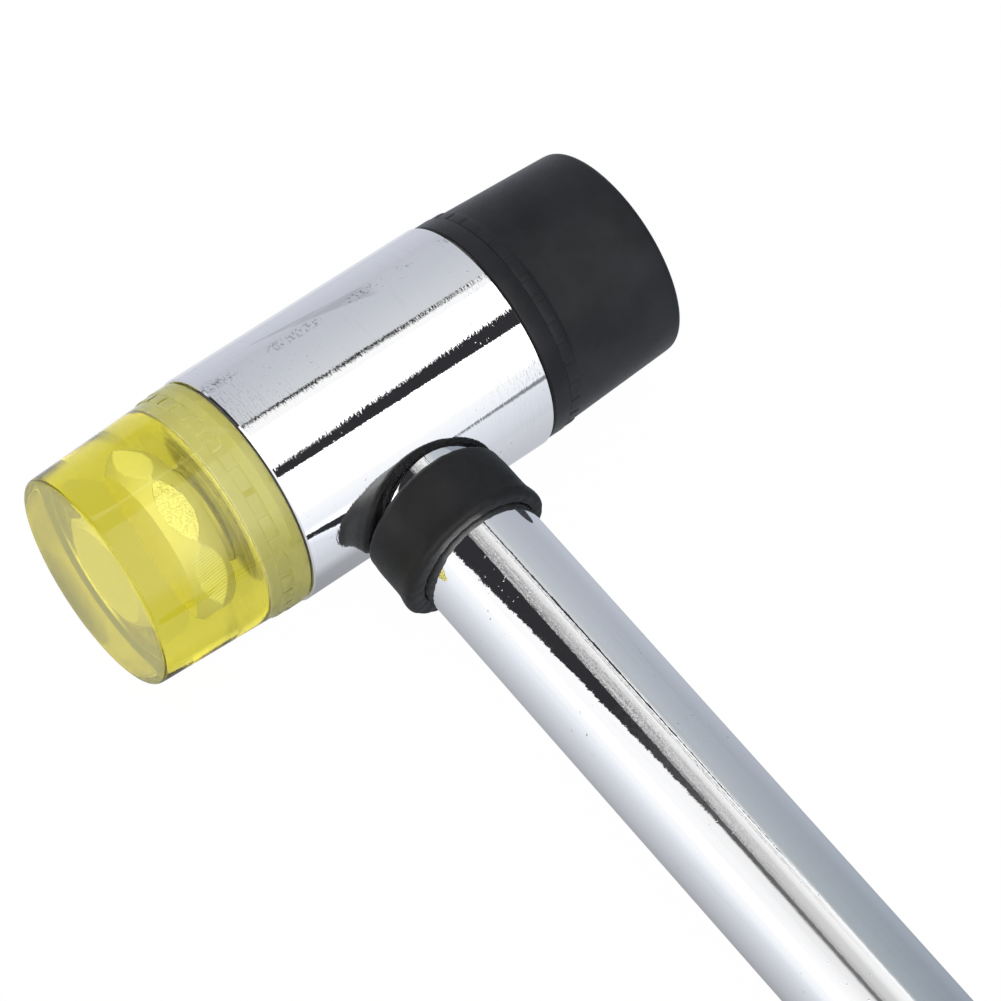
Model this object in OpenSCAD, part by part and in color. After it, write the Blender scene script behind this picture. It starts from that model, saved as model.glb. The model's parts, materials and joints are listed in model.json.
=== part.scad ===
// Soft face hammer, lying on its side: head along X, handle towards -Y.
// A chromed tube head carries a clear yellow face and a black rubber face, each on a moulded-in bolt.

/* [Head] */
// Outside diameter of the head tube
head_d = 35; // [30:0.5:48]
// Length of the head tube
head_l = 41.4; // [36:0.2:60]
// Wall of the head tube
head_wall = 2; // [1.2:0.1:3]
// Chamfer on the rims of the head tube
head_rim = 0.2; // [0.1:0.05:0.6]

/* [Face bolts] */
// Thread diameter of the bolt that is moulded into a face
bolt_d = 10; // [6:0.5:12]
// Width across the flats of the bolt's head
bolt_af = 16; // [13:0.5:19]
// Diameter of the flat ends of the bolt's head
bolt_flat_d = 14.8; // [12:0.2:15.6]
// Diameter over the worn corners of the bolt's head
bolt_over_d = 18.2; // [16.4:0.2:18.4]
// Height of the bolt's head
bolt_head_h = 6.4; // [4:0.1:8]
// Length of the bolt's shank
shank_l = 16; // [12:0.5:18]
// Chamfer on the end of the shank
shank_chamfer = 0.8; // [0.2:0.1:1.5]
// Turn of the bolt's head about the head's axis
bolt_turn = 18.5; // [0:0.5:60]

/* [Striking faces] */
// Length of a face from its seat to its striking surface
face_l = 23.5; // [19:0.25:32]
// How far the base of a face's cone lies inside the head's radius
face_inset = 0.35; // [0.2:0.05:0.8]
// Loss of radius from the base of the cone to the striking surface
face_taper = 1.05; // [0.2:0.05:2]
// Edge rounding of the yellow face
yellow_edge = 0.7; // [0.3:0.1:2]
// Edge rounding of the black face
black_edge = 0.9; // [0.3:0.1:2]
// Depth of the socket that fits over the spigot
socket_depth = 6.4; // [4:0.1:8]
// Lead-in chamfer at the mouth of the socket
socket_lead = 1; // [0.3:0.1:1.2]
// Thickness of the web between the socket and the bolt's head
web_t = 1.8; // [1:0.1:3]

/* [Grip ring of a face] */
// Length of the raised ring at the seat of a face
ring_l = 2.9; // [2:0.1:4]
// How far the ring lies inside the head's radius
ring_inset = 0.08; // [0.05:0.01:0.15]
// Chamfer on the seat edge of the ring
ring_chamfer = 0.25; // [0.1:0.05:0.5]
// Length of the row of teeth in front of the ring
tooth_l = 1.8; // [1:0.1:2.4]
// How far the teeth lie below the ring
tooth_drop = 0.15; // [0.05:0.01:0.2]
// Number of teeth
tooth_count = 32; // [12:1:40]
// Width of the slot between two teeth
slot_w = 0.8; // [0.4:0.1:1.6]
// Wall left between the ring and a slot
slot_gap = 0.1; // [0.05:0.05:0.4]
// Depth of a slot, as a share of the height of a tooth above the cone
slot_depth_share = 0.8; // [0.4:0.05:0.9]
// Turn of the yellow face's slots about the head's axis
yellow_turn = 5.6; // [0:0.05:30]
// Turn of the black face's slots about the head's axis
black_turn = 2.85; // [0:0.05:30]

/* [Face washers] */
// Thickness of the fibre washer under a face
washer_t = 0.25; // [0.15:0.05:1]
// How far the washer lies inside the head's radius
washer_inset = 0.25; // [0.1:0.05:0.8]

/* [Handle] */
// Outside diameter of the handle tube
handle_d = 18.4; // [14:0.2:22]
// Wall of the handle tube
handle_wall = 1.2; // [0.8:0.1:2.5]
// Distance from the head's axis to the far end of the handle tube
handle_reach = 228; // [180:1:300]
// Offset of the handle from the middle of the head, towards the yellow face
handle_offset = 0.25; // [0:0.05:1]

/* [Collar] */
// Length of the rubber collar
collar_l = 10; // [6:0.5:16]
// Wall of the collar
collar_wall = 2; // [1:0.1:4]
// Extra radius of the collar's lip
lip_h = 0.6; // [0.2:0.1:1.5]
// Length of the collar's lip
lip_l = 2.2; // [1.5:0.1:4]
// Edge rounding of the collar
collar_edge = 0.8; // [0.3:0.1:1]
// Offset of the collar's outside from the handle axis, towards the yellow face
collar_sag = 0.5; // [0:0.1:0.8]

/* [Grip] */
// Length of the sleeve over the handle tube
grip_l = 88; // [60:1:110]
// Wall of the sleeve
grip_wall = 2.8; // [2:0.1:4]
// Number of grooves around the sleeve
groove_count = 10; // [4:1:11]
// Distance from one groove to the next
groove_pitch = 6.5; // [5:0.1:6.6]
// Radius of a groove's section
groove_r = 1.6; // [1:0.1:2.2]
// Depth of a groove
groove_depth = 0.8; // [0.3:0.1:1.2]
// Edge rounding at the front of the sleeve
grip_edge = 1.5; // [0.5:0.1:2]
// Length of the closed end past the handle tube
end_l = 10; // [7:0.5:16]
// Extra radius of the bead at the closed end
bead_h = 1.2; // [0.5:0.1:1.6]
// Length of the bead before the closed end, ramp included
bead_l = 7; // [4:0.5:10]
// Length of the ramp up to the bead
bead_ramp = 3; // [1:0.5:3.5]
// Edge rounding of the closed end
end_edge = 3; // [1:0.5:5]

/* [Hanging tongue] */
// Diameter of the hanging hole
hang_d = 6; // [4:0.5:8]
// Radius of the tongue's round end
tongue_r = 8; // [6.5:0.5:9]
// Thickness of the tongue
tongue_t = 9; // [6:0.5:16]
// Distance from the closed end to the hanging hole
hang_reach = 8; // [7:0.5:12]

/* [Clearances] */
// Radial gap of a pressed or brazed joint
press_gap = 0.02; // [0.01:0.01:0.04]
// Radial running gap of a screw thread, spigot or washer
run_gap = 0.08; // [0.05:0.01:0.1]
// Gap between neighbouring ends that don't bear on each other
end_gap = 0.3; // [0.2:0.05:0.6]

/* [Hidden] */
$fn = 96;
// Steps in each rounded edge
arc_steps = 8;
// How far a cut runs past the surface that it opens
overrun = 1;

head_r = head_d / 2;
bore_r = head_r - head_wall;
handle_r = handle_d / 2;
handle_bore_r = handle_r - handle_wall;
bolt_r = bolt_d / 2;

// Stations along the head, measured outwards from its middle
rim_z = head_l / 2;
seat_z = rim_z + washer_t;
plug_z = handle_r + handle_offset + end_gap;
spigot_z = seat_z + socket_depth - end_gap;
bolt_z = seat_z + socket_depth + web_t;

// Radii of a face
spigot_r = bore_r - press_gap;
socket_r = spigot_r + run_gap;
thread_r = bolt_r + run_gap;
ring_r = head_r - ring_inset;
tooth_r = ring_r - tooth_drop;
teeth_z = ring_l + tooth_l;
cone_base_r = head_r - face_inset;
cone_front_r = cone_base_r - face_taper;
slot_z = ring_l + slot_gap;
slot_floor_r = tooth_r - slot_depth_share * (tooth_r - cone_r(teeth_z));

// Stations along the handle, measured from the head's axis
handle_in_z = end_gap - sqrt(bore_r * bore_r - handle_r * handle_r);
collar_z = head_r + press_gap;
grip_z = handle_reach - grip_l;
grip_end_z = handle_reach + end_l;
bead_z = handle_reach - bead_l;
rest_z = grip_end_z - end_edge;
hang_z = grip_end_z + hang_reach;

// Radii along the handle
sleeve_bore_r = handle_r + press_gap;
collar_r = handle_r + collar_wall;
lip_r = collar_r + lip_h;
grip_r = handle_r + grip_wall;
bead_r = grip_r + bead_h;

// Tilt of the handle about the head's axis, with the head and the bead both on the ground
lie_angle = asin(head_r / norm([rest_z, bead_r])) - atan2(bead_r, rest_z);
// Place of the head's axis that centres the hammer along Y
head_y = (hang_z * cos(lie_angle) + tongue_r - head_r) / 2;

// Points of a rounded corner about (x, z), from the first angle to the second
function corner(x, z, r, from, to) = [
    for (i = [0 : arc_steps])
        let (a = from + (to - from) * i / arc_steps)
            [x + r * cos(a), z + r * sin(a)]
];

// Radius of a face's cone at a height above its seat
function cone_r(z) = cone_base_r - face_taper * z / face_l;

// Head axis pointing along local Z: side is -1 for the yellow end, 1 for the black end
module along_head(side) {
    translate([0, head_y, head_r])
        rotate([0, side * 90, 0])
            children();
}

// Handle axis pointing along local Z
module along_handle() {
    translate([-handle_offset, head_y, head_r])
        rotate([90 + lie_angle, 0, 0])
            children();
}

module head_tube() {
    color("gainsboro")
        difference() {
            along_head(1)
                rotate_extrude()
                    polygon([
                        [bore_r, -rim_z],
                        [head_r - head_rim, -rim_z],
                        [head_r, head_rim - rim_z],
                        [head_r, rim_z - head_rim],
                        [head_r - head_rim, rim_z],
                        [bore_r, rim_z]
                    ]);
            along_handle()
                cylinder(r = sleeve_bore_r, h = head_r + overrun);
        }
}

// Steel plug pressed into the head, with a spigot and a threaded hole for one face
module end_plug(side) {
    along_head(side)
        translate([0, 0, plug_z])
            rotate_extrude()
                translate([thread_r, 0])
                    square([spigot_r - thread_r, spigot_z - plug_z]);
}

module yellow_end_plug() {
    color("silver")
        end_plug(-1);
}

module black_end_plug() {
    color("silver")
        end_plug(1);
}

// Hex head with worn corners, grown by a gap for the pocket that holds it
module bolt_head(gap) {
    corner_r = (bolt_af / 2 + gap) / cos(30);
    flat_r = bolt_flat_d / 2 + gap;
    over_r = bolt_over_d / 2 + gap;
    intersection() {
        translate([0, 0, -gap])
            rotate([0, 0, bolt_turn])
                cylinder(r = corner_r, h = bolt_head_h + 2 * gap, $fn = 6);
        rotate_extrude()
            polygon([
                [0, -gap],
                [flat_r, -gap],
                [over_r, bolt_head_h / 2],
                [flat_r, bolt_head_h + gap],
                [0, bolt_head_h + gap]
            ]);
    }
}

// Hex bolt of a face, its head outwards and its thread as a plain shank
module face_bolt(side) {
    along_head(side)
        translate([0, 0, bolt_z])
            union() {
                bolt_head(0);
                rotate_extrude()
                    polygon([
                        [0, -shank_l],
                        [bolt_r - shank_chamfer, -shank_l],
                        [bolt_r, shank_chamfer - shank_l],
                        [bolt_r, 0],
                        [0, 0]
                    ]);
            }
}

module yellow_face_bolt() {
    color("lightsteelblue")
        face_bolt(-1);
}

module black_face_bolt() {
    color("lightsteelblue")
        face_bolt(1);
}

// Section of a striking face, with its seat at zero
module face_section(edge) {
    polygon(concat(
        [
            [0, socket_depth],
            [socket_r, socket_depth],
            [socket_r, socket_lead],
            [socket_r + socket_lead, 0],
            [ring_r - ring_chamfer, 0],
            [ring_r, ring_chamfer],
            [ring_r, ring_l],
            [tooth_r, ring_l],
            [tooth_r, teeth_z],
            [cone_r(teeth_z), teeth_z]
        ],
        corner(cone_front_r - edge, face_l - edge, edge, 0, 90),
        [[0, face_l]]
    ));
}

// Slots that part the row of teeth in front of the ring
module tooth_slots(turn) {
    for (i = [0 : tooth_count - 1])
        rotate([0, 0, turn + i * 360 / tooth_count])
            translate([slot_floor_r, -slot_w / 2, slot_z])
                cube([head_r + overrun - slot_floor_r, slot_w, teeth_z + overrun - slot_z]);
}

module striking_face(side, edge, turn) {
    along_head(side)
        translate([0, 0, seat_z])
            difference() {
                rotate_extrude()
                    face_section(edge);
                tooth_slots(turn);
                translate([0, 0, socket_depth + web_t])
                    bolt_head(press_gap);
                cylinder(r = bolt_r + press_gap, h = socket_depth + web_t + overrun);
            }
}

module yellow_face() {
    color("gold", 0.6)
        striking_face(-1, yellow_edge, yellow_turn);
}

module black_face() {
    color("#2e2e30")
        striking_face(1, black_edge, black_turn);
}

module face_washer(side) {
    along_head(side)
        translate([0, 0, rim_z])
            rotate_extrude()
                translate([socket_r, 0])
                    square([head_r - washer_inset - socket_r, washer_t]);
}

module yellow_face_washer() {
    color("#3a3430")
        face_washer(-1);
}

module black_face_washer() {
    color("#3a3430")
        face_washer(1);
}

module handle_tube() {
    color("gainsboro")
        along_handle()
            translate([0, 0, handle_in_z])
                rotate_extrude()
                    translate([handle_bore_r, 0])
                        square([handle_wall, handle_reach - handle_in_z]);
}

module collar_section() {
    polygon(concat(
        [
            [0, 0],
            [collar_r, 0],
            [collar_r, collar_l - lip_l]
        ],
        corner(lip_r - collar_edge, collar_l - collar_edge, collar_edge, 0, 90),
        [[0, collar_l]]
    ));
}

module handle_collar() {
    color("#2b2b2d")
        along_handle()
            difference() {
                translate([-collar_sag, 0, collar_z])
                    rotate_extrude()
                        collar_section();
                cylinder(r = sleeve_bore_r, h = collar_z + collar_l + overrun);
            }
}

// Section of the grip, closed past the end of the handle tube
module grip_section() {
    polygon(concat(
        [[sleeve_bore_r, grip_z]],
        corner(grip_r - grip_edge, grip_z + grip_edge, grip_edge, -90, 0),
        [
            [grip_r, bead_z],
            [bead_r, bead_z + bead_ramp]
        ],
        corner(bead_r - end_edge, rest_z, end_edge, 0, 90),
        [
            [0, grip_end_z],
            [0, handle_reach],
            [sleeve_bore_r, handle_reach]
        ]
    ));
}

module grip_grooves() {
    first_z = (grip_z + bead_z - (groove_count - 1) * groove_pitch) / 2;
    for (i = [0 : groove_count - 1])
        translate([0, 0, first_z + i * groove_pitch])
            rotate_extrude()
                translate([grip_r + groove_r - groove_depth, 0])
                    circle(r = groove_r);
}

// Flat tongue with a round end, its thickness along X
module hanging_tongue() {
    root_z = grip_end_z - end_edge;
    translate([-tongue_t / 2, 0, hang_z])
        rotate([0, 90, 0])
            cylinder(r = tongue_r, h = tongue_t);
    translate([-tongue_t / 2, -tongue_r, root_z])
        cube([tongue_t, 2 * tongue_r, hang_z - root_z]);
}

module grip_sleeve() {
    color("#262628")
        along_handle()
            difference() {
                union() {
                    rotate_extrude()
                        grip_section();
                    hanging_tongue();
                }
                grip_grooves();
                translate([-tongue_t / 2 - overrun, 0, hang_z])
                    rotate([0, 90, 0])
                        cylinder(d = hang_d, h = tongue_t + 2 * overrun);
            }
}

head_tube();
yellow_end_plug();
black_end_plug();
yellow_face();
black_face();
yellow_face_bolt();
black_face_bolt();
yellow_face_washer();
black_face_washer();
handle_tube();
handle_collar();
grip_sleeve();
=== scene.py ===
"""Looks of the soft face hammer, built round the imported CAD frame."""
import functools
import json
import math

import bmesh
import bpy
import numpy as np
from mathutils import Matrix, Vector

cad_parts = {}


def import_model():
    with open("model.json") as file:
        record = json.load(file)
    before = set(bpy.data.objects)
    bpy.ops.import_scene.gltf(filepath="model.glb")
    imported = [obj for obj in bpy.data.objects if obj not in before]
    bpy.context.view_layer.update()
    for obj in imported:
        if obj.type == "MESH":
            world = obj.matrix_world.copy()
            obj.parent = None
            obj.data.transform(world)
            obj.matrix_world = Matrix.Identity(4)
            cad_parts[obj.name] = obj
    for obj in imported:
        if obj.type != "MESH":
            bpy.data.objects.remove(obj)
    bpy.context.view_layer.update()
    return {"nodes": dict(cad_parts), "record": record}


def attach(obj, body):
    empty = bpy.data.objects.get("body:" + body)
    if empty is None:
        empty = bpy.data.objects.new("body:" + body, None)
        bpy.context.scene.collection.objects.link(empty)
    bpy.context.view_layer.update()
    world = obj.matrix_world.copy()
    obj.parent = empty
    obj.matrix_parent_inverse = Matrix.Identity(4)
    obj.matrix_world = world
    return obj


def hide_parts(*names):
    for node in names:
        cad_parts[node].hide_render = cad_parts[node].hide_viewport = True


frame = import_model()
nodes = frame["nodes"]

MM = 0.001
UM = 0.000001
CIRCLE = 2 * math.pi

# Sizes in millimetres, near those of the solids
HEAD_R = 17.5
RIM_Z = 20.7
WASHER_T = 0.25
WASHER_R = HEAD_R - 0.25
WASHER_EDGE = 0.06
SEAT_Z = RIM_Z + WASHER_T
FACE_L = 23.5
CONE_BASE_R = HEAD_R - 0.35
FACE_TAPER = 1.05
RING_L = 2.9
RING_R = HEAD_R - 0.24
RING_CHAMFER = 0.25
TOOTH_R = RING_R - 0.1
TEETH_Z = RING_L + 1.8
TOOTH_COUNT = 32
SLOT_W = 0.8
SLOT_Z = RING_L + 0.1
SOCKET_R = 15.56
SOCKET_DEPTH = 6.4
SOCKET_LEAD = 1.0
SOCKET_EDGE = 0.4
FLOOR_RINGS = np.arange(5.2, 9.6, 0.22)
FLOOR_RING_H = 0.05
SPIGOT_R = 15.48
SPIGOT_Z = SEAT_Z + SOCKET_DEPTH - 0.3
SPIGOT_EDGE = 0.5
PLUG_Z = 9.75
THREAD_R = 5.08
COUNTERSINK = 0.7
TOOL_MARK_STEP = 0.16
TOOL_MARK_H = 0.035
BOLT_R = 5.0
BOLT_AF = 16.0
BOLT_HEAD_H = 6.4
BOLT_FLAT_R = 7.4
BOLT_OVER_R = 9.1
BOLT_FILLET = 0.25
BOLT_Z = SEAT_Z + SOCKET_DEPTH + 1.8
SHANK_L = 16.0
SHANK_TIP = 0.9
PITCH = 1.5
THREAD_START = 0.6
THREAD_RUN_IN = 1.2
THREAD_DEPTH = 0.62
HANDLE_R = 9.2
SLEEVE_R = HANDLE_R + 0.02
COLLAR_Z = HEAD_R + 0.02
COLLAR_L = 10.0
COLLAR_R = HANDLE_R + 2.0
COLLAR_EDGE = 0.8
COLLAR_SAG = 0.5
LIP_R = COLLAR_R + 0.48

# Turn of the bolts' heads, and the flats from there on, in degrees
BOLT_TURN = 18.5
BOLT_FLATS = {"sawn": 0, "forged": 60, "forged_2": 180, "clean": 120, "clean_2": 240, "clean_3": 300}

# Axes of the hammer: U along the head to the yellow face, V along the handle, W upwards
mounts = {m["name"]: Vector(m["pos_m"]) for m in frame["record"]["mounts"]}
HEAD = Vector((0, mounts["yellow_striking_face"].y, mounts["yellow_striking_face"].z))
HANDLE = Vector((mounts["hang_hole"].x, HEAD.y, HEAD.z))
U = Vector((-1, 0, 0))
V = (mounts["hang_hole"] - HANDLE).normalized()
W = U.cross(V)

WHITE = (1, 1, 1, 1)
BLACK = (0, 0, 0, 1)


# Shapes

def finish_mesh(name, verts, faces, sharp):
    """Object from points and faces, with outward normals and edges sharper than the angle kept."""
    mesh = bpy.data.meshes.new(name)
    mesh.from_pydata(verts, [], faces)
    work = bmesh.new()
    work.from_mesh(mesh)
    bmesh.ops.recalc_face_normals(work, faces=work.faces)
    work.to_mesh(mesh)
    work.free()
    mesh.shade_smooth()
    mesh.set_sharp_from_angle(angle=math.radians(sharp))
    obj = bpy.data.objects.new(name, mesh)
    bpy.context.scene.collection.objects.link(obj)
    return obj


def lathe(name, angles, r, z, origin, axis, first, second, loop=False, shift=None, sharp=32):
    """Closed piece round an axis: r and z have a row for each profile point and a column for each angle."""
    rows, cols = r.shape
    shift = np.zeros(rows) if shift is None else shift
    ring = [first * math.cos(a) + second * math.sin(a) for a in angles]
    verts = []
    index = np.zeros((rows, cols), int)
    for j in range(rows):
        base = origin + first * (shift[j] * MM)
        if r[j].max() < 1e-6:
            index[j] = len(verts)
            verts.append(base + axis * (z[j, 0] * MM))
            continue
        for i in range(cols):
            index[j, i] = len(verts)
            verts.append(base + axis * (z[j, i] * MM) + ring[i] * (r[j, i] * MM))
    faces = []
    for j in range(rows if loop else rows - 1):
        a, b = index[j], index[(j + 1) % rows]
        for i in range(cols):
            k = (i + 1) % cols
            corners = list(dict.fromkeys((int(a[i]), int(a[k]), int(b[k]), int(b[i]))))
            if len(corners) > 2:
                faces.append(corners)
    return finish_mesh(name, verts, faces, sharp)


def even_angles(cols):
    return np.arange(cols) * CIRCLE / cols


def arc(x, z, r, start, end, steps):
    """Points of a rounded corner."""
    turns = [math.radians(a) for a in np.linspace(start, end, steps + 1)]
    return [(x + r * math.cos(a), z + r * math.sin(a)) for a in turns]


def wobble(angles, waves, seed):
    """Smooth random curve round a circle, from about -1 to 1."""
    gen = np.random.default_rng(seed)
    out = np.zeros(len(angles))
    for n in waves:
        out += gen.normal() * np.sin(n * np.asarray(angles) + gen.uniform(0, CIRCLE))
    return out / math.sqrt(len(waves))


def cone_r(at):
    """Radius of a face at a height above its seat."""
    return CONE_BASE_R - FACE_TAPER * at / FACE_L


def slot_pattern():
    """Angles in degrees from one slot of a ring to the next, each with its share of the slot's depth."""
    half = math.degrees(math.asin(SLOT_W / 2 / TOOTH_R))
    lead, side = half + 0.35, half + 0.1
    wall = [(lead, 0), (side, 0.2), (half, 1)]
    tooth = np.linspace(lead, 360 / TOOTH_COUNT - lead, 9)[1:-1]
    return [(-offset, share) for offset, share in wall] + [(0, 1)] + wall[::-1] + [(offset, 0) for offset in tooth]


def face_piece(name, side, edge, turn, slot_share, longer):
    """Striking face: cone with a rounded edge, notched ring at its seat, socket behind."""
    pattern = slot_pattern()
    turns = [turn + k * 360 / TOOTH_COUNT + offset for k in range(TOOTH_COUNT) for offset, _ in pattern]
    depth = np.tile([float(share) for _, share in pattern], TOOTH_COUNT)
    depth *= slot_share * (TOOTH_R - cone_r(TEETH_Z))
    front = FACE_L + longer
    front_r = CONE_BASE_R - FACE_TAPER
    # Each row is a radius, a height and its share of the slots; small steps round the edges
    rows = [(0, SOCKET_DEPTH, 0)]
    rows += [(r, SOCKET_DEPTH + FLOOR_RING_H * (i % 2), 0) for i, r in enumerate(FLOOR_RINGS)]
    rows += [(r, SOCKET_DEPTH, 0) for r in (10, 12, SOCKET_R - SOCKET_EDGE)]
    corner = arc(SOCKET_R - SOCKET_EDGE, SOCKET_DEPTH - SOCKET_EDGE, SOCKET_EDGE, 90, 0, 4)
    rows += [(r, at, 0) for r, at in corner[1:]]
    rows += [(SOCKET_R, SOCKET_LEAD, 0), (SOCKET_R + SOCKET_LEAD, 0, 0), (RING_R - RING_CHAMFER, 0, 0)]
    rows += [(RING_R, RING_CHAMFER, 0), (RING_R, RING_L - 0.12, 0), (RING_R - 0.04, RING_L - 0.03, 0)]
    rows += [(TOOTH_R - 0.1, RING_L + 0.02, 0), (TOOTH_R, SLOT_Z + 0.06, 0), (TOOTH_R, SLOT_Z + 0.12, 1)]
    rows += [(TOOTH_R, TEETH_Z - 0.14, 1), (TOOTH_R - 0.03, TEETH_Z - 0.04, 0.85), (TOOTH_R - 0.1, TEETH_Z, 0.6)]
    rows += [(cone_r(TEETH_Z) + 0.03, TEETH_Z, 0), (cone_r(TEETH_Z + 0.05), TEETH_Z + 0.05, 0)]
    rows += [(cone_r(at), at, 0) for at in np.linspace(TEETH_Z + 0.6, front - edge - 0.3, 6)]
    rows += [(r, at, 0) for r, at in arc(front_r - edge, front - edge, edge, 0, 90, 8)]
    rows += [(front_r - edge - 1, front, 0), (8, front, 0), (0, front, 0)]
    radius, height, share = (np.array(column, float) for column in zip(*rows))
    r = radius[:, None] - np.outer(share, depth)
    z = np.outer(height, np.ones(len(turns)))
    axis = U * -side
    obj = lathe(name, np.radians(turns), r, z, HEAD + axis * (SEAT_Z * MM), axis, V, W)
    mark_inside(obj, axis)
    return obj


def mark_inside(obj, axis):
    """Point attributes: how rough the seat and the socket are left, and which points lie on the striking end."""
    inside = obj.data.attributes.new("inside", "FLOAT", "POINT")
    struck = obj.data.attributes.new("struck", "FLOAT", "POINT")
    for i, v in enumerate(obj.data.vertices):
        local = v.co - (HEAD + axis * (SEAT_Z * MM))
        along = local.dot(axis)
        out = (local - axis * along).length
        seat = along < 0.01 * MM
        wall = abs(out - SOCKET_R * MM) < 0.1 * MM and along < (SOCKET_DEPTH - 0.3) * MM
        floor = out < SOCKET_R * MM and along < (SOCKET_DEPTH + 0.1) * MM
        inside.data[i].value = 1.0 if seat or wall else 0.3 if floor else 0.0
        struck.data[i].value = 1.0 if along > FACE_L * MM else 0.0


def bolt_piece(name, side):
    """Hex bolt with chamfered head and a cut thread."""
    per_flat = 36
    cols = 6 * per_flat
    angles = math.radians(BOLT_TURN - 30) + even_angles(cols)
    off_middle = (np.arange(cols) % per_flat) / per_flat * 60 - 30
    hex_r = BOLT_AF / 2 / np.cos(np.radians(off_middle))
    # Each row is a height and a radius, or one radius for each angle
    rows = [(BOLT_HEAD_H, 0), (BOLT_HEAD_H, 3), (BOLT_HEAD_H, 6)]
    for at in np.linspace(0, BOLT_HEAD_H, 33)[::-1]:
        bulge = 1 - abs(2 * at / BOLT_HEAD_H - 1) ** 1.1
        rows.append((at, np.minimum(hex_r, BOLT_FLAT_R + (BOLT_OVER_R - BOLT_FLAT_R) * bulge)))
    rows += [(0, BOLT_R + BOLT_FILLET), (-BOLT_FILLET, BOLT_R)]
    for at in np.arange(THREAD_START, SHANK_L - 0.8, PITCH / 6):
        phase = (at / PITCH + angles / CIRCLE) % 1
        cut = np.clip(1.35 * (1 - np.abs(2 * phase - 1)) - 0.2, 0, 1)
        run_in = min(1, (at - THREAD_START) / THREAD_RUN_IN)
        rows.append((-at, BOLT_R - THREAD_DEPTH * cut * run_in))
    rows += [(-SHANK_L, BOLT_R - SHANK_TIP), (-SHANK_L, 0)]
    r = np.array([np.ones(cols) * radius for _, radius in rows])
    z = np.outer([at for at, _ in rows], np.ones(cols))
    axis = U * -side
    obj = lathe(name, angles, r, z, HEAD + axis * (BOLT_Z * MM), axis, V, W, sharp=25)
    mark_flats(obj, axis)
    return obj


def mark_flats(obj, axis):
    """Point attributes that say which flats of the head are sawn, forged rough or clean."""
    local = [v.co - (HEAD + axis * (BOLT_Z * MM)) for v in obj.data.vertices]
    for title, flat in BOLT_FLATS.items():
        turn = math.radians(BOLT_TURN + flat)
        normal = V * math.cos(turn) + W * math.sin(turn)
        attribute = obj.data.attributes.new(title, "FLOAT", "POINT")
        for i, p in enumerate(local):
            on = abs(p.dot(normal) / MM - BOLT_AF / 2) < 0.02 and p.dot(axis) > 0
            attribute.data[i].value = 1.0 if on else 0.0


def plug_piece(name, side):
    """Turned plug with a chamfered spigot, fine tool marks on its end and a countersunk hole."""
    end = SPIGOT_Z - PLUG_Z
    profile = [(THREAD_R, 0.6), (THREAD_R, end - COUNTERSINK), (THREAD_R + COUNTERSINK, end)]
    marks = np.arange(THREAD_R + 0.9, SPIGOT_R - 0.6, TOOL_MARK_STEP)
    profile += [(r, end - TOOL_MARK_H * (i % 2)) for i, r in enumerate(marks)]
    profile += arc(SPIGOT_R - SPIGOT_EDGE, end - SPIGOT_EDGE, SPIGOT_EDGE, 90, 0, 5)
    profile += [(SPIGOT_R, 0.4), (SPIGOT_R - 0.4, 0), (THREAD_R + 0.6, 0)]
    cols = 192
    r, z = (np.outer(column, np.ones(cols)) for column in zip(*profile))
    axis = U * -side
    return lathe(name, even_angles(cols), r, z, HEAD + axis * (PLUG_Z * MM), axis, V, W, loop=True)


def washer_piece(name, side, seed):
    """Thin fibre washer with a cut edge that isn't quite round."""
    cols = 240
    angles = even_angles(cols)
    uneven = 0.05 * wobble(angles, (2, 3, 5, 9, 14, 23, 31), seed)
    # Its edge stands out of the gap round the top of the head and lies back in the gap elsewhere
    out = np.exp(-((np.degrees(angles) - 107) / 15) ** 4)
    uneven = np.clip(uneven - 0.55 * (1 - out), -0.7, 0.02)
    inner, outer = SOCKET_R + 0.02, WASHER_R - 0.02
    rows = [(inner, 0), (inner, WASHER_T), (outer - WASHER_EDGE, WASHER_T), (outer, WASHER_T - WASHER_EDGE)]
    rows += [(outer, WASHER_EDGE), (outer - WASHER_EDGE, 0)]
    r = np.array([radius + uneven * (radius > inner) for radius, _ in rows])
    z = np.array([np.full(cols, at) for _, at in rows])
    axis = U * -side
    return lathe(name, angles, r, z, HEAD + axis * (RIM_Z * MM), axis, V, W, loop=True)


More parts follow.
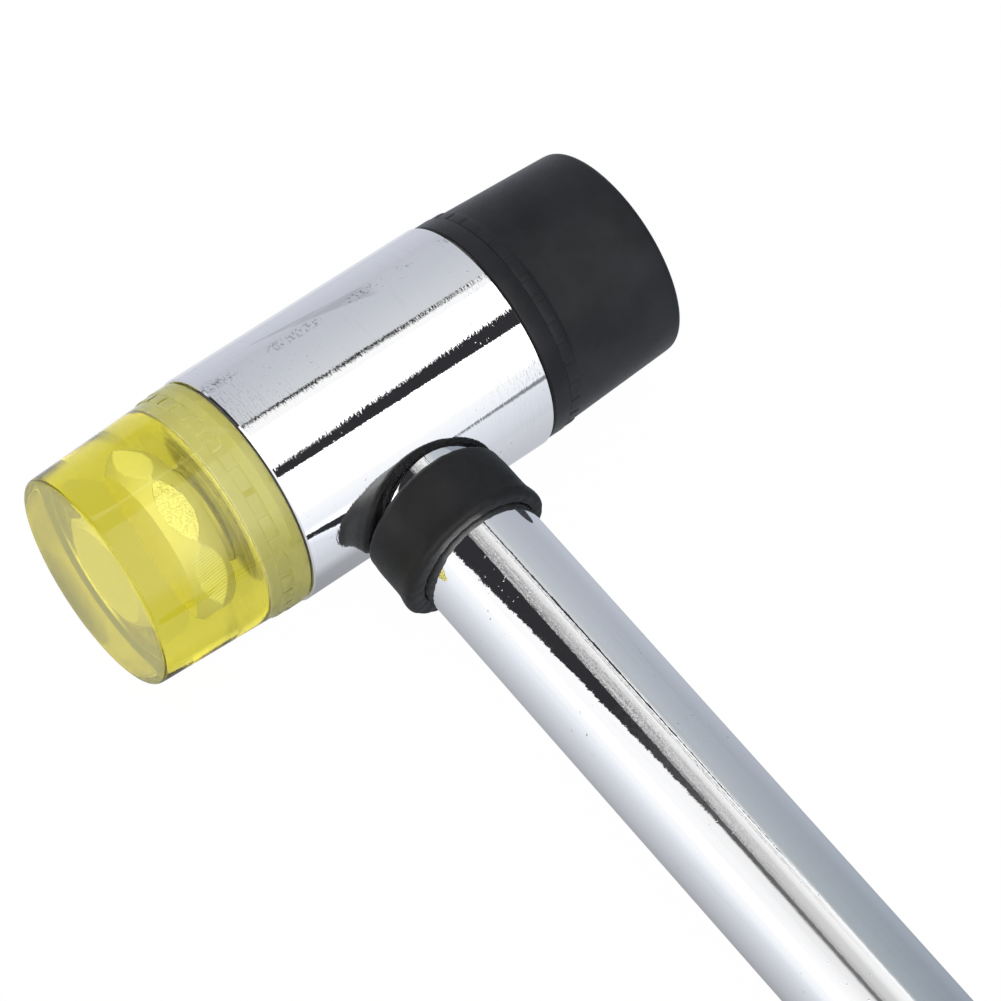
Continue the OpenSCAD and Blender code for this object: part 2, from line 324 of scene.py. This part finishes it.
def collar_piece(name):
    """Rubber collar with a lip, a sag to one side and an uneven trimmed edge."""
    cols = 240
    angles = even_angles(cols)
    trim = wobble(angles, (3, 5, 8, 13, 19, 27, 38), 11)
    swell = wobble(angles, (2, 3, 4, 6), 12)
    # Each row: radius, height, share of the sag, of the trim and of the swell
    rows = [(SLEEVE_R, 0.3, 0, 0, 0), (SLEEVE_R, COLLAR_L - 0.6, 0, 0, 0)]
    rows += [(SLEEVE_R + 0.06, COLLAR_L - 0.3, 0.05, 0.03, 0), (SLEEVE_R + 0.22, COLLAR_L - 0.14, 0.15, 0.05, 0)]
    rows += [(SLEEVE_R + 0.6, COLLAR_L - 0.06, 0.4, 0.05, 0), (SLEEVE_R + 1.1, COLLAR_L - 0.04, 0.75, 0.05, 0)]
    lip = arc(LIP_R - COLLAR_EDGE, COLLAR_L - COLLAR_EDGE, COLLAR_EDGE, 90, 0, 6)
    rows += [(r - 0.05, at - 0.06, 1, 0.05, 0.05) for r, at in lip]
    rows += [(LIP_R - 0.06, COLLAR_L - 1.3, 1, 0, 0.06), (LIP_R - 0.16, COLLAR_L - 1.9, 1, 0, 0.05)]
    rows += [(COLLAR_R + 0.14, COLLAR_L - 2.7, 1, 0, 0.04), (COLLAR_R + 0.09, COLLAR_L - 3.6, 1, 0, 0.03)]
    rows += [(COLLAR_R + 0.08, at, 1, 0, 0.03) for at in (5, 4, 3)]
    rows += [(COLLAR_R + 0.04, 2.2, 1, 0, 0.03), (COLLAR_R - 0.04, 1.5, 1, 0, 0.03)]
    rows += [(r, at, 1, 0.04, 0.03) for r, at in arc(COLLAR_R - 1.05, 1.02, 1.0, 0, -90, 6)]
    radius, height, sag, trim_share, swell_share = (np.array(column, float) for column in zip(*rows))
    r = radius[:, None] + np.outer(swell_share * (radius > SLEEVE_R), swell)
    z = np.clip(height[:, None] + np.outer(trim_share, trim), 0.02, COLLAR_L)
    # The end against the head bends a little way round it; the other is shorter above and below
    bend = np.sin(angles) ** 2
    z -= np.outer(np.maximum(0.0, 1 - height / 4), 0.85 * bend)
    z -= np.outer(np.maximum(0.0, (height - 5) / 5), 0.6 * bend)
    origin = HANDLE + V * (COLLAR_Z * MM)
    return lathe(name, angles, r, z, origin, V, U, W, loop=True, shift=sag * COLLAR_SAG, sharp=60)


# Shader nodes

def add(tree, kind, inputs=None, **settings):
    """New node: sockets given in inputs are linked, other values are set."""
    item = tree.nodes.new(kind)
    for key, value in settings.items():
        setattr(item, key, value)
    for key, value in (inputs or {}).items():
        if isinstance(value, bpy.types.NodeSocket):
            tree.links.new(value, item.inputs[key])
        else:
            item.inputs[key].default_value = value
    return item


def math_node(tree, operation, a, b=0.0, clamp=False):
    return add(tree, "ShaderNodeMath", {0: a, 1: b}, operation=operation, use_clamp=clamp).outputs[0]


def times(tree, *values):
    return functools.reduce(lambda a, b: math_node(tree, "MULTIPLY", a, b), values)


def total(tree, *values):
    return functools.reduce(lambda a, b: math_node(tree, "ADD", a, b), values)


def most(tree, *values):
    return functools.reduce(lambda a, b: math_node(tree, "MAXIMUM", a, b), values)


def minus(tree, a, b):
    return math_node(tree, "SUBTRACT", a, b)


def line_of(tree, value, slope, start):
    return total(tree, times(tree, value, slope), start)


def dot(tree, vector, axis):
    return add(tree, "ShaderNodeVectorMath", {0: vector, 1: tuple(axis)}, operation="DOT_PRODUCT").outputs["Value"]


def remap(tree, value, low, high, to_low=0.0, to_high=1.0):
    """Value moved from one range to another, held at its ends."""
    return add(tree, "ShaderNodeMapRange", {0: value, 1: low, 2: high, 3: to_low, 4: to_high}).outputs[0]


def within(tree, value, low, high, soft):
    """1 between two limits, falling to 0 outside them."""
    return times(tree, remap(tree, value, low - soft, low), remap(tree, value, high, high + soft, 1.0, 0.0))


def mix_value(tree, factor, a, b):
    return add(tree, "ShaderNodeMix", {0: factor, 2: a, 3: b}).outputs[0]


def blend_colour(tree, factor, a, b):
    return add(tree, "ShaderNodeMix", {0: factor, 6: a, 7: b}, data_type="RGBA").outputs[2]


def tinted(tree, colour, tint):
    inputs = {0: 1.0, 6: colour, 7: tint}
    return add(tree, "ShaderNodeMix", inputs, data_type="RGBA", blend_type="MULTIPLY").outputs[2]


def ramp_colours(tree, value, stops):
    """Colour by a value from -1 to 1, through the given stops."""
    item = add(tree, "ShaderNodeValToRGB", {0: remap(tree, value, -1.0, 1.0)})
    elements = item.color_ramp.elements
    for _ in stops[2:]:
        elements.new(0.5)
    for element, (at, colour) in zip(elements, stops):
        element.position = (at + 1) / 2
        element.color = (*colour, 1)
    return item.outputs[0]


def noise(tree, vector, scale, detail=3.0, rough=0.5):
    inputs = {"Vector": vector, "Scale": scale, "Detail": detail, "Roughness": rough}
    return add(tree, "ShaderNodeTexNoise", inputs).outputs[0]


def object_place(tree):
    return add(tree, "ShaderNodeTexCoord").outputs["Object"]


def stretch(tree, scale=(1, 1, 1)):
    """Object coordinates in metres, scaled along each axis."""
    return add(tree, "ShaderNodeMapping", {"Vector": object_place(tree), "Scale": scale}).outputs[0]


def point_value(tree, title):
    return add(tree, "ShaderNodeAttribute", attribute_name=title).outputs["Fac"]


def bump(tree, height, distance, under=None):
    inputs = {"Height": height, "Strength": 1.0, "Distance": distance}
    if under is not None:
        inputs["Normal"] = under
    return add(tree, "ShaderNodeBump", inputs).outputs[0]


def ray_kind(tree, *kinds):
    """1 for rays of the named kinds, else 0."""
    path = add(tree, "ShaderNodeLightPath")
    return most(tree, *(path.outputs[kind] for kind in kinds))


# Materials

def new_material(name):
    """Material with a Principled shader on its output."""
    mat = bpy.data.materials.new(name)
    mat.use_nodes = True
    tree = mat.node_tree
    tree.nodes.clear()
    shader = add(tree, "ShaderNodeBsdfPrincipled")
    out = add(tree, "ShaderNodeOutputMaterial", {"Surface": shader.outputs[0]})
    return mat, tree, shader, out


def link(tree, shader, base, rough, normal):
    for title, value in (("Base Color", base), ("Roughness", rough), ("Normal", normal)):
        tree.links.new(value, shader.inputs[title])


def chrome(name, fine, drawn, ripple, marks=None):
    """Bright plating: ripples of the given grain, pits, smears, lines from drawing the tube and other marks."""
    mat, tree, shader, _ = new_material(name)
    shader.inputs["Metallic"].default_value = 1.0
    peel = noise(tree, stretch(tree, fine), 1000.0, 2.0)
    wave = noise(tree, stretch(tree), 160.0, 2.0)
    specks = noise(tree, stretch(tree), 1500.0, 2.0)
    patches = noise(tree, stretch(tree), 90.0, 3.0)
    pits = times(tree, remap(tree, specks, 0.69, 0.75), remap(tree, patches, 0.5, 0.65))
    lines = remap(tree, noise(tree, stretch(tree, drawn), 1000.0, 1.0), 0.62, 0.72, 0.0, 0.07)
    base = blend_colour(tree, pits, (0.97, 0.972, 0.98, 1), (0.5, 0.5, 0.52, 1))
    base = blend_colour(tree, lines, base, (0.3, 0.3, 0.32, 1))
    if marks:
        base = blend_colour(tree, marks(tree), base, (0.16, 0.16, 0.17, 1))
    smear = remap(tree, noise(tree, stretch(tree, fine), 60.0, 4.0, 0.6), 0.5, 0.8, 0.012, 0.06)
    normal = bump(tree, wave, 12 * UM)
    normal = bump(tree, peel, ripple, normal)
    normal = bump(tree, pits, 14 * UM, normal)
    link(tree, shader, base, smear, normal)
    return mat


def head_marks(tree):
    """A wiped smear and a broken row of specks along the top of the head."""
    local = nodes["head_tube"].matrix_world.inverted()
    turn = local.to_3x3()
    inputs = {0: object_place(tree), 1: tuple(local @ HEAD)}
    place = add(tree, "ShaderNodeVectorMath", inputs, operation="SUBTRACT").outputs[0]
    # Millimetres from the head's middle to the yellow face, and degrees round its axis
    along = math_node(tree, "DIVIDE", dot(tree, place, turn @ U), MM)
    round_axis = math_node(tree, "ARCTAN2", dot(tree, place, turn @ W), dot(tree, place, turn @ V))
    angle = times(tree, round_axis, 180 / math.pi)
    # The smear starts in a point 9 mm from the middle and widens to its other end
    run = minus(tree, 9.0, along)
    low = total(tree, angle, times(tree, run, 1.03))
    high = total(tree, angle, times(tree, run, 0.52))
    wedge = times(tree, remap(tree, low, 125.4, 126.6), remap(tree, high, 127.6, 127.0), remap(tree, run, 16.8, 15.2))
    streaks = noise(tree, stretch(tree, (0.25, 2.5, 2.5)), 900.0, 3.0)
    smear = times(tree, wedge, remap(tree, streaks, 0.3, 0.7, 0.1, 0.3))
    row = times(tree, remap(tree, angle, 111.5, 113.5), remap(tree, angle, 119.5, 117.0))
    breaks = noise(tree, stretch(tree, (1, 0.1, 0.1)), 170.0, 1.0)
    specks = noise(tree, stretch(tree, (1.6, 1, 1)), 1500.0, 3.0, 0.7)
    row = times(tree, row, remap(tree, breaks, 0.42, 0.54), remap(tree, specks, 0.5, 0.62, 0.0, 0.75))
    return most(tree, smear, row)


def rubber(name, dark, light, rough, grain, shine=0.45, bloom=0.0):
    """Matte moulded rubber with a fine grain and pale handling marks."""
    mat, tree, shader, _ = new_material(name)
    place = stretch(tree)
    cloud = remap(tree, noise(tree, place, 110.0, 5.0, 0.6), 0.35, 0.7)
    skin = noise(tree, place, 2600.0, 3.0, 0.6)
    dents = noise(tree, place, 300.0, 3.0)
    base = blend_colour(tree, cloud, (*dark, 1), (*light, 1))
    patchy = remap(tree, skin, 0.3, 0.7, rough - 0.06, rough + 0.06)
    link(tree, shader, base, patchy, bump(tree, skin, grain, bump(tree, dents, grain * 2)))
    shader.inputs["Specular IOR Level"].default_value = shine
    shader.inputs["Sheen Weight"].default_value = bloom
    shader.inputs["Sheen Roughness"].default_value = 0.3
    return mat


def clear_plastic(name):
    """Clear yellow plastic: the depth of colour comes from the length of the light's way through it."""
    mat, tree, shader, out = new_material(name)
    place = stretch(tree)
    scuff = noise(tree, place, 900.0, 4.0, 0.65)
    ripple = noise(tree, place, 140.0, 2.0)
    inside, struck = point_value(tree, "inside"), point_value(tree, "struck")
    shader.inputs["IOR"].default_value = 1.49
    base = blend_colour(tree, inside, (0.995, 0.99, 0.95, 1), (0.53, 0.515, 0.155, 1))
    base = blend_colour(tree, struck, base, (0.99, 0.94, 0.3, 1))
    rough = total(tree, remap(tree, scuff, 0.45, 0.75, 0.0, 0.05), times(tree, inside, 0.45))
    link(tree, shader, base, rough, bump(tree, ripple, 12 * UM))
    # Moulded walls and the worn striking end are hazy
    clear = minus(tree, remap(tree, inside, 0.0, 1.0, 1.0, 0.5), times(tree, struck, 0.22))
    tree.links.new(clear, shader.inputs["Transmission Weight"])
    tree.links.new(remap(tree, struck, 0.0, 1.0, 0.5, 0.25), shader.inputs["Specular IOR Level"])
    absorb = add(tree, "ShaderNodeVolumeAbsorption", {"Color": (0.89, 0.86, 0.0, 1), "Density": 100.0})
    tree.links.new(absorb.outputs[0], out.inputs["Volume"])
    return mat


def turned_steel(name):
    """Machined steel with faint streaks round the axis of the head."""
    mat, tree, shader, _ = new_material(name)
    shader.inputs["Metallic"].default_value = 0.4
    streak = noise(tree, stretch(tree, (9, 1, 1)), 400.0, 4.0, 0.6)
    cloud = noise(tree, stretch(tree), 200.0, 3.0)
    base = blend_colour(tree, cloud, (0.9, 0.9, 0.88, 1), (0.97, 0.97, 0.95, 1))
    link(tree, shader, base, remap(tree, streak, 0.3, 0.7, 0.2, 0.36), bump(tree, streak, 6 * UM))
    return mat


def bolt_metal(name):
    """Zinc plated steel: one flat sawn in fine lines, two left rough from the forge, and painted shade round the
    flats.
    """
    mat, tree, shader, _ = new_material(name)
    shader.inputs["Metallic"].default_value = 0.35
    flat = {title: point_value(tree, title) for title in BOLT_FLATS}
    forged = total(tree, flat["forged"], flat["forged_2"])
    crumple = noise(tree, stretch(tree), 1100.0, 4.0, 0.6)
    crease = noise(tree, stretch(tree), 1900.0, 3.0, 0.6)
    skin = noise(tree, stretch(tree), 2500.0, 3.0)
    # Lines 0.4 mm apart across the sawn flat, slightly slanted and uneven
    turn = math.radians(BOLT_TURN + 90)
    across = V * math.cos(turn) + W * math.sin(turn) + U * 0.12
    run = total(tree, dot(tree, object_place(tree), across), times(tree, crumple, 0.2 * MM))
    lines = math_node(tree, "SINE", times(tree, run, CIRCLE / (0.4 * MM)))
    height = total(tree, times(tree, lines, times(tree, flat["sawn"], 0.16)),
                   times(tree, crumple, times(tree, forged, 2.4)), times(tree, skin, 0.12))
    base = blend_colour(tree, crumple, (0.9, 0.89, 0.85, 1), (0.97, 0.965, 0.94, 1))
    off_crease = math_node(tree, "ABSOLUTE", minus(tree, crease, 0.5))
    scaly = blend_colour(tree, remap(tree, off_crease, 0.0, 0.035), (0.42, 0.41, 0.33, 1), (0.86, 0.855, 0.83, 1))
    base = blend_colour(tree, flat["forged"], base, scaly)
    combed = blend_colour(tree, remap(tree, lines, -0.95, -0.3), (0.74, 0.73, 0.64, 1), base)
    base = blend_colour(tree, flat["sawn"], base, combed)
    # Painted shade: the barrel and chamfers round the flats get a darker copy of the zinc, while the flats and the
    # faces turned towards the yellow end keep the brighter zinc
    normal = add(tree, "ShaderNodeNewGeometry").outputs["True Normal"]
    end = math_node(tree, "ABSOLUTE", remap(tree, dot(tree, normal, U), 0.8, 0.95))
    flats = total(tree, forged, flat["sawn"], flat["clean"], flat["clean_2"], flat["clean_3"])
    bright = math_node(tree, "MAXIMUM", flats, end, True)
    # The darker zinc on the barrel and chamfers is painted shade, the same zinc as the flats
    base = blend_colour(tree, bright, (0.74, 0.73, 0.67, 1), base)
    link(tree, shader, base, remap(tree, skin, 0.3, 0.7, 0.42, 0.58), bump(tree, height, 100 * UM))
    return mat


def fibre(name):
    """Dark pressed fibre with a layered edge."""
    mat, tree, shader, _ = new_material(name)
    strand = noise(tree, stretch(tree, (6, 1, 1)), 900.0, 4.0, 0.6)
    base = blend_colour(tree, remap(tree, strand, 0.35, 0.7), (0.05, 0.045, 0.04, 1), (0.13, 0.115, 0.1, 1))
    link(tree, shader, base, remap(tree, strand, 0.3, 0.7, 0.7, 0.9), bump(tree, strand, 30 * UM))
    return mat


# The hammer's pieces

def dress(obj, mat):
    obj.data.materials.clear()
    obj.data.materials.append(mat)


def put(obj, mat, body, node):
    """New piece in place of a CAD node."""
    dress(obj, mat)
    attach(obj, body)
    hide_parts(node)


def dress_hammer():
    """CAD nodes that only get a material, then the pieces that replace the others."""
    steel = turned_steel("plug_steel")
    zinc = bolt_metal("bolt_zinc")
    dark_fibre = fibre("washer_fibre")
    grip_rubber = rubber("grip_rubber", (0.012, 0.012, 0.013), (0.024, 0.024, 0.026), rough=0.55, grain=30 * UM)
    black_rubber = rubber("black_rubber", (0.009, 0.009, 0.0105), (0.018, 0.018, 0.0205),
                          rough=0.38, grain=8 * UM, shine=0.26, bloom=0.05)
    collar_rubber = rubber("collar_rubber", (0.01, 0.01, 0.0105), (0.017, 0.017, 0.018),
                           rough=0.45, grain=10 * UM, shine=0.19)
    dress(nodes["head_tube"], chrome("head_chrome", (3.6, 1.1, 1.1), (4.0, 0.12, 0.12), 6.5 * UM, head_marks))
    dress(nodes["handle_tube"], chrome("handle_chrome", (2.4, 0.9, 2.4), (2.4, 0.012, 2.4), 3.5 * UM))
    dress(nodes["grip_sleeve"], grip_rubber)

    put(face_piece("yellow_face_clear", -1, edge=0.6, turn=5.6, slot_share=0.8, longer=0.12),
        clear_plastic("clear_yellow"), "yellow_face_body", "yellow_face")
    put(face_piece("black_face_rubber", 1, edge=0.9, turn=8.4, slot_share=0.35, longer=0.3),
        black_rubber, "black_face_body", "black_face")
    for colour, side, seed in (("yellow", -1, 3), ("black", 1, 4)):
        put(bolt_piece(colour + "_bolt_threaded", side), zinc,
            colour + "_face_body", colour + "_face_bolt")
        put(plug_piece(colour + "_plug_turned", side), steel,
            "head_and_handle", colour + "_end_plug")
        put(washer_piece(colour + "_washer_fibre", side, seed), dark_fibre,
            colour + "_washer", colour + "_face_washer")
    put(collar_piece("collar_moulded"), collar_rubber, "head_and_handle", "handle_collar")


# Floor, light and camera

FLOOR_SIZE = 4.0
FLOOR_DROP = 0.0001
FLOOR_WHITE_SHARE = 0.985

# Brightness of the panels, and of what the clear plastic shows beyond itself
LAMP_LEVEL = 2.3
SKY_THROUGH = 2.6
GROUND_THROUGH = 0.84
CARD_LEVEL = 1.7
GAP_DARK = (0.03, 0.03, 0.034, 1)


def grey(level, blue=1.07):
    return (0.968 * level, level, blue * level)


def even(level):
    return (level, level, level)


# Colours of the studio by a part of the direction from -1 to 1: upwards, along the handle or along the head
LIT_STOPS = (
    (-1.0, grey(0.4)), (-0.95, grey(0.42)), (-0.9, grey(0.46)), (-0.8, grey(0.505)), (-0.7, grey(0.545)),
    (-0.58, grey(0.59)), (-0.45, grey(0.64)), (-0.3, grey(0.7)), (-0.16, grey(0.77)), (-0.05, grey(0.84)),
    (0.03, grey(0.91, 1.05)), (0.12, grey(0.96, 1.03)), (0.25, (0.99, 0.99, 1.0)), (1.0, even(1)))
GROUND_STOPS = (
    (-1.0, even(1.04)), (-0.36, even(1.05)), (-0.2, even(0.93)), (0.3, even(0.93)), (0.62, even(0.99)),
    (0.8, even(1.16)), (0.93, even(1.22)), (1.0, even(1.2)))
ROOM_STOPS = (
    (-1.0, grey(0.45)), (-0.9, grey(0.55, 1.1)), (-0.68, grey(0.63, 1.1)), (-0.41, grey(0.617, 1.11)),
    (-0.1, grey(0.567, 1.11)), (0.07, grey(0.545, 1.11)), (0.5, grey(0.575, 1.09)), (0.65, grey(0.6, 1.08)),
    (0.8, grey(0.645, 1.05)), (1.0, grey(0.7, 1.0)))
TAIL_STOPS = (
    (-0.4, even(0.0)), (-0.3, even(0.05)), (-0.2, even(0.12)), (-0.1, even(0.3)), (-0.03, even(0.55)),
    (0.14, even(0.68)), (0.23, even(0.9)), (0.3, even(0.0)))

# Camera in millimetres along U, V and W from the crossing of head and handle, with its axes
LENS = 156.08
CAMERA_AT = (200.60, 234.81, 509.28)
CAMERA_RIGHT = (-0.77989, 0.62314, 0.05889)
CAMERA_DOWN = (0.51699, 0.69434, -0.50061)
CAMERA_AHEAD = (-0.35284, -0.35997, -0.86367)


def make_floor():
    """Wide pale floor, nearly white to the camera and not there for mirrored and refracted rays."""
    corners = [(x * FLOOR_SIZE, y * FLOOR_SIZE, 0) for x, y in ((-1, -1), (1, -1), (1, 1), (-1, 1))]
    mesh = bpy.data.meshes.new("floor")
    mesh.from_pydata(corners, [], [(0, 1, 2, 3)])
    floor = bpy.data.objects.new("floor", mesh)
    floor.location.z = -FLOOR_DROP
    bpy.context.scene.collection.objects.link(floor)
    mat = bpy.data.materials.new("floor")
    mat.use_nodes = True
    tree = mat.node_tree
    tree.nodes.clear()
    matte = add(tree, "ShaderNodeBsdfDiffuse", {"Color": (0.86, 0.87, 0.89, 1)})
    white = add(tree, "ShaderNodeEmission", {"Color": WHITE, "Strength": 1.0})
    clear = add(tree, "ShaderNodeBsdfTransparent")
    share = times(tree, ray_kind(tree, "Is Camera Ray"), FLOOR_WHITE_SHARE)
    mixed = add(tree, "ShaderNodeMixShader", {0: share, 1: matte.outputs[0], 2: white.outputs[0]})
    # Metal and clear plastic show the lower half of the studio in its place
    through = ray_kind(tree, "Is Glossy Ray", "Is Transmission Ray")
    mixed = add(tree, "ShaderNodeMixShader", {0: through, 1: mixed.outputs[0], 2: clear.outputs[0]})
    add(tree, "ShaderNodeOutputMaterial", {"Surface": mixed.outputs[0]})
    dress(floor, mat)


def lit_side(tree, x, y, height):
    """Pale ground that grows lighter to the horizon, and white panels above it."""
    down = remap(tree, height, 0.03, -0.05)
    lit = ramp_colours(tree, height, LIT_STOPS)
    lit = tinted(tree, lit, blend_colour(tree, down, WHITE, ramp_colours(tree, y, GROUND_STOPS)))
    # The head's own shadow on the ground, and the ground before the yellow face
    shadow = times(tree, within(tree, x, -0.335, -0.15, 0.02), within(tree, y, -0.2, 0.6, 0.15),
                   remap(tree, height, -0.72, -0.86, 0.0, 0.5))
    lit = blend_colour(tree, shadow, lit, BLACK)
    before = times(tree, remap(tree, x, 0.1, 0.16), remap(tree, y, -0.364, -0.376), down)
    lit = blend_colour(tree, before, lit, (*even(0.55), 1))
    # The panels are brighter than white paper, but for a strip that only the handle shows
    strip = times(tree, within(tree, y, -0.4, -0.16, 0.02), within(tree, x, -0.42, 0.8, 0.02))
    lamps = times(tree, remap(tree, height, 0.25, 0.5), minus(tree, 1.0, strip))
    return tinted(tree, lit, blend_colour(tree, lamps, WHITE, (*even(LAMP_LEVEL), 1)))


def room_side(tree, x, y, height):
    """Dim blue grey room on the far side, dimmer where the handle shows it."""
    room = ramp_colours(tree, height, ROOM_STOPS)
    pale = times(tree, remap(tree, height, -0.58, -0.68), remap(tree, x, -0.42, -0.38))
    room = blend_colour(tree, pale, room, (0.73, 0.75, 0.8, 1))
    tint = blend_colour(tree, remap(tree, y, -0.33, -0.2), (0.82, 0.85, 0.86, 1), (0.52, 0.575, 0.6, 1))
    return tinted(tree, room, blend_colour(tree, remap(tree, x, -0.37, -0.46), WHITE, tint))


def room_share(tree, x, height, past_edge):
    """Where the room shows, with edges that are sharp above the horizon and blurred below it."""
    low = remap(tree, height, 0.0, -0.1)

    def before(value, at):
        sharp, blurred = (remap(tree, value, at + soft, at - soft) for soft in (0.005, 0.15))
        return mix_value(tree, low, sharp, blurred)

    return most(tree, before(past_edge, 0.0), before(x, -0.39))


def head_gap(tree, x, y):
    """Dark gap between the panels that the head shows."""
    past_start = minus(tree, y, line_of(tree, x, 1.64, 0.925))
    return times(tree, remap(tree, past_start, -0.004, 0.004), remap(tree, y, 0.551, 0.543),
                 within(tree, x, -0.45, 0.05, 0.05))


def handle_gap(tree, x, y):
    """Dark gap that the handle shows, with a ragged tail to one side, blurred with distance."""
    far = remap(tree, y, -0.31, -0.24)
    blur = remap(tree, far, 0.0, 1.0, 0.016, 0.09)

    def edge(value):
        return math_node(tree, "ADD", math_node(tree, "DIVIDE", value, blur), 0.5, True)

    limit = most(tree, line_of(tree, y, -4.5, -0.87), 0.38)
    near = times(tree, edge(minus(tree, x, 0.23)), edge(minus(tree, limit, x)), remap(tree, far, 0.0, 1.0, 1.0, 0.85))
    grain = add(tree, "ShaderNodeCombineXYZ", {0: times(tree, x, 12.0), 1: times(tree, y, 520.0)}).outputs[0]
    ticks = remap(tree, noise(tree, grain, 1.0, 2.0, 0.6), 0.35, 0.62, 0.25, 1.3)
    ticks = mix_value(tree, far, ticks, 0.6)
    tail = math_node(tree, "MULTIPLY", ramp_colours(tree, x, TAIL_STOPS), ticks, True)
    spread = times(tree, remap(tree, x, 0.75, 0.38, 0.0, 0.2), remap(tree, x, 0.1, 0.2), far)
    return most(tree, near, tail, spread)


def dark_places(tree, x, y, height, past_edge):
    """Shares of the dark gaps, lines and things in the studio."""
    up = remap(tree, height, 0.0, 0.05)
    handle_only = remap(tree, y, 0.1, 0.05)
    gaps = most(tree, head_gap(tree, x, y), times(tree, handle_gap(tree, x, y), handle_only))
    places = [times(tree, gaps, up)]
    # Two seams of the panel over the handle
    for seam in (-0.246, -0.29):
        line = within(tree, x, seam - 0.006, seam + 0.006, 0.006)
        places.append(times(tree, line, handle_only, up, remap(tree, y, -0.22, -0.28, 0.0, 0.55)))
    # Thin dark edge of the panel by the room
    thick = line_of(tree, x, -0.8, -0.215)
    places.append(times(tree, remap(tree, past_edge, -0.003, 0.003),
                        remap(tree, minus(tree, thick, past_edge), -0.003, 0.003),
                        remap(tree, x, -0.372, -0.366), up))
    # Something dark beyond the handle's end, which the head shows by way of the handle
    places.append(times(tree, within(tree, x, 0.2, 0.42, 0.03), remap(tree, y, 0.78, 0.82),
                        within(tree, height, 0.02, 0.5, 0.03)))
    # Edge of the ground in front of the head
    places.append(times(tree, within(tree, height, -0.065, -0.02, 0.03), remap(tree, y, 0.75, 0.85),
                        remap(tree, x, -0.336, -0.344, 0.0, 0.75)))
    return places


def beyond_plastic(tree, x, height):
    """What the clear plastic shows: pale paper below with a bright card before the face, bright sky above."""
    ground, sky, bright = ((*even(level), 1) for level in (GROUND_THROUGH, SKY_THROUGH, CARD_LEVEL))
    beyond = blend_colour(tree, remap(tree, height, -0.05, 0.3), ground, sky)
    card = times(tree, remap(tree, x, 0.55, 0.8), remap(tree, height, 0.05, -0.1))
    return blend_colour(tree, card, beyond, bright)


def make_world():
    """White studio: two broad lit panels with a dark gap overhead, a grey room behind and a pale ground."""
    world = bpy.data.worlds.new("studio")
    bpy.context.scene.world = world
    world.use_nodes = True
    tree = world.node_tree
    tree.nodes.clear()
    towards = add(tree, "ShaderNodeTexCoord").outputs["Generated"]
    x, y, height = (dot(tree, towards, axis) for axis in (U, V, W))
    past_edge = minus(tree, y, line_of(tree, x, -0.74, -0.6))
    seen = blend_colour(tree, room_share(tree, x, height, past_edge),
                        lit_side(tree, x, y, height), room_side(tree, x, y, height))
    for share in dark_places(tree, x, y, height, past_edge):
        seen = blend_colour(tree, share, seen, GAP_DARK)
    seen = blend_colour(tree, ray_kind(tree, "Is Transmission Ray"), seen, beyond_plastic(tree, x, height))
    colour = blend_colour(tree, ray_kind(tree, "Is Camera Ray"), seen, WHITE)
    back = add(tree, "ShaderNodeBackground", {"Color": colour, "Strength": 1.0})
    add(tree, "ShaderNodeOutputWorld", {"Surface": back.outputs[0]})


def make_camera():
    """Camera where the photograph was taken from."""
    right, down, ahead, at = (
        U * a + V * b + W * c for a, b, c in (CAMERA_RIGHT, CAMERA_DOWN, CAMERA_AHEAD, CAMERA_AT))
    at = HANDLE + at * MM
    data = bpy.data.cameras.new("camera")
    data.sensor_width = 36.0
    data.lens = LENS
    data.clip_start = 0.01
    camera = bpy.data.objects.new("camera", data)
    bpy.context.scene.collection.objects.link(camera)
    camera.matrix_world = Matrix((
        (right.x, -down.x, -ahead.x, at.x),
        (right.y, -down.y, -ahead.y, at.y),
        (right.z, -down.z, -ahead.z, at.z),
        (0, 0, 0, 1)))
    bpy.context.scene.camera = camera


dress_hammer()
make_floor()
make_world()
make_camera()
bpy.context.scene.view_settings.view_transform = "Standard"
